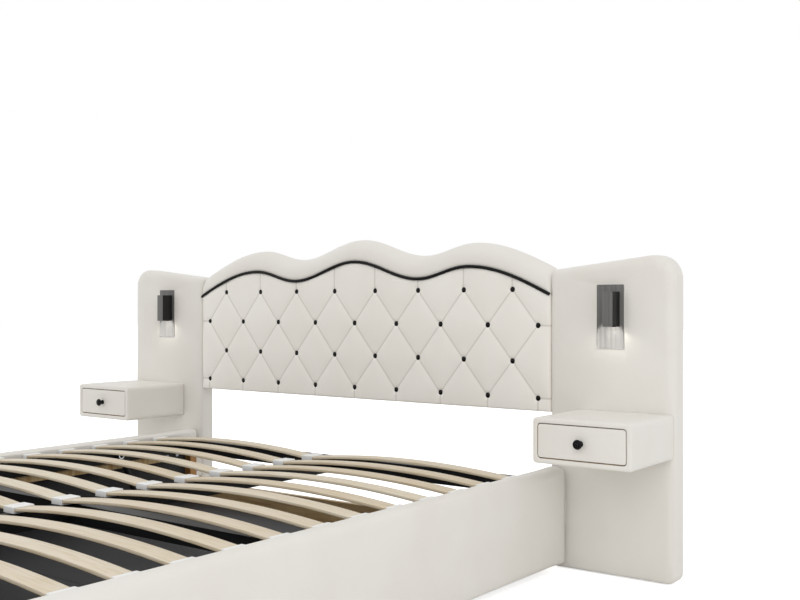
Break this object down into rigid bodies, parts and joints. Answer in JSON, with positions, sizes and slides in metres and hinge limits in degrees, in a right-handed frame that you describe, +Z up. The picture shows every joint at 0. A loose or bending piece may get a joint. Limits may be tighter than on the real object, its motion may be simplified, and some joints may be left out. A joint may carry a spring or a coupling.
{
  "type": "bed with attached nightstands",
  "caption": "Cream upholstered bed with a button-tufted wavy headboard, wing panels carrying floating drawer nightstands and reading lamps, and a lift-up slatted deck over storage.",
  "frame": {"origin": "on the floor, under the middle of the whole bed's bounding box", "axes": "+Z up, +Y towards the headboard, +X to the right for someone at the foot looking at the headboard"},
  "size_m": [2.34, 2.174, 1.023],
  "materials": {
    "upholstery": "smooth off-white PU leather, satin",
    "piping": "black PU piping, semi-gloss",
    "buttons": "black glossy button",
    "dust_cloth": "black spunbonded non-woven",
    "lining": "black spunbonded non-woven",
    "timber": "sawn pine and plywood",
    "brown_board": "brown board",
    "post_wood": "planed pine",
    "floor_panel": "dark grey faced hardboard",
    "slat_wood": "bowed birch or poplar laminate, satin lacquer",
    "drawer_wood": "foiled board",
    "white_plastic": "moulded slat holder",
    "black_plastic": "moulded foot",
    "black_steel": "black powder coat",
    "zinc_steel": "zinc-plated steel",
    "strut_rod": "hard-chromed rod",
    "lamp_plate": "dark grey satin paint",
    "lamp_housing": "black-grey satin paint",
    "lamp_lens": "opal acrylic",
    "circuit_board": "white LED board",
    "knob": "black glossy knob"
  },
  "bodies": {
    "root": {"headboard_frame": "timber", "headboard_pad": "upholstery", "headboard_band": "upholstery", "headboard_piping": "piping", "headboard_buttons": "buttons", "back_dust_cloths": "dust_cloth", "left_wing_frame": "timber", "right_wing_frame": "timber", "left_wing_pad": "upholstery", "right_wing_pad": "upholstery", "joining_plates": "zinc_steel", "joining_screws": "zinc_steel", "wing_glides": "black_plastic", "left_rail_board": "timber", "right_rail_board": "timber", "foot_rail_board": "timber", "left_rail_cover": "upholstery", "right_rail_cover": "upholstery", "foot_rail_cover": "upholstery", "rail_linings": "lining", "rail_head_brackets": "black_steel", "foot_corner_brackets": "black_steel", "rail_bolts": "zinc_steel", "wing_bolts": "zinc_steel", "head_crossboard": "brown_board", "corner_posts": "post_wood", "floor_bearers": "timber", "floor_panels": "floor_panel", "feet": "black_plastic", "rest_battens": "timber", "hinge_brackets": "black_steel", "strut_brackets": "black_steel", "left_stand_case": "timber", "right_stand_case": "timber", "left_stand_cover": "upholstery", "right_stand_cover": "upholstery", "left_case_runners": "zinc_steel", "right_case_runners": "zinc_steel", "lamp_plates": "lamp_plate", "lamp_housings": "lamp_housing", "lamp_lenses": "lamp_lens", "lamp_boards": "circuit_board"},
    "deck": {"deck_frame": "black_steel", "left_slats": "slat_wood", "right_slats": "slat_wood", "slat_end_caps": "white_plastic", "slat_centre_holders": "white_plastic"},
    "left_strut_tube": {"left_strut_cylinder": "black_steel"},
    "left_strut_piston": {"left_strut_rod": "strut_rod"},
    "left_drawer": {"left_drawer_front": "upholstery", "left_drawer_box": "drawer_wood", "left_drawer_runners": "zinc_steel", "left_drawer_knob": "knob"},
    "right_strut_tube": {"right_strut_cylinder": "black_steel"},
    "right_strut_piston": {"right_strut_rod": "strut_rod"},
    "right_drawer": {"right_drawer_front": "upholstery", "right_drawer_box": "drawer_wood", "right_drawer_runners": "zinc_steel", "right_drawer_knob": "knob"}
  },
  "joints": [
    {"name": "deck_lift", "type": "hinge", "parent": "root", "child": "deck", "pos_m": [0, 0.871, 0.258], "axis": [-1, 0, 0], "range_deg": [0, 40]},
    {"name": "left_strut_tilt", "type": "hinge", "parent": "root", "child": "left_strut_tube", "pos_m": [-0.722, 0.68699, 0.05364], "axis": [-1, 0, 0], "range_deg": [0, 20.5]},
    {"name": "left_strut_extend", "type": "slide", "parent": "left_strut_tube", "child": "left_strut_piston", "axis": [0, -0.4067, 0.9135], "range_m": [0, 0.165]},
    {"name": "left_drawer_slide", "type": "slide", "parent": "root", "child": "left_drawer", "axis": [0, -1, 0], "range_m": [0, 0.19]},
    {"name": "right_strut_tilt", "type": "hinge", "parent": "root", "child": "right_strut_tube", "pos_m": [0.722, 0.68699, 0.05364], "axis": [-1, 0, 0], "range_deg": [0, 20.5]},
    {"name": "right_strut_extend", "type": "slide", "parent": "right_strut_tube", "child": "right_strut_piston", "axis": [0, -0.4067, 0.9135], "range_m": [0, 0.165]},
    {"name": "right_drawer_slide", "type": "slide", "parent": "root", "child": "right_drawer", "axis": [0, -1, 0], "range_m": [0, 0.19]}
  ],
  "couplings": [
    {"joint": "left_strut_tilt", "follows": "deck_lift", "ratio": 0.5},
    {"joint": "left_strut_extend", "follows": "deck_lift", "m_per_rad": 0.2313},
    {"joint": "right_strut_tilt", "follows": "deck_lift", "ratio": 0.5},
    {"joint": "right_strut_extend", "follows": "deck_lift", "m_per_rad": 0.2313}
  ]
}
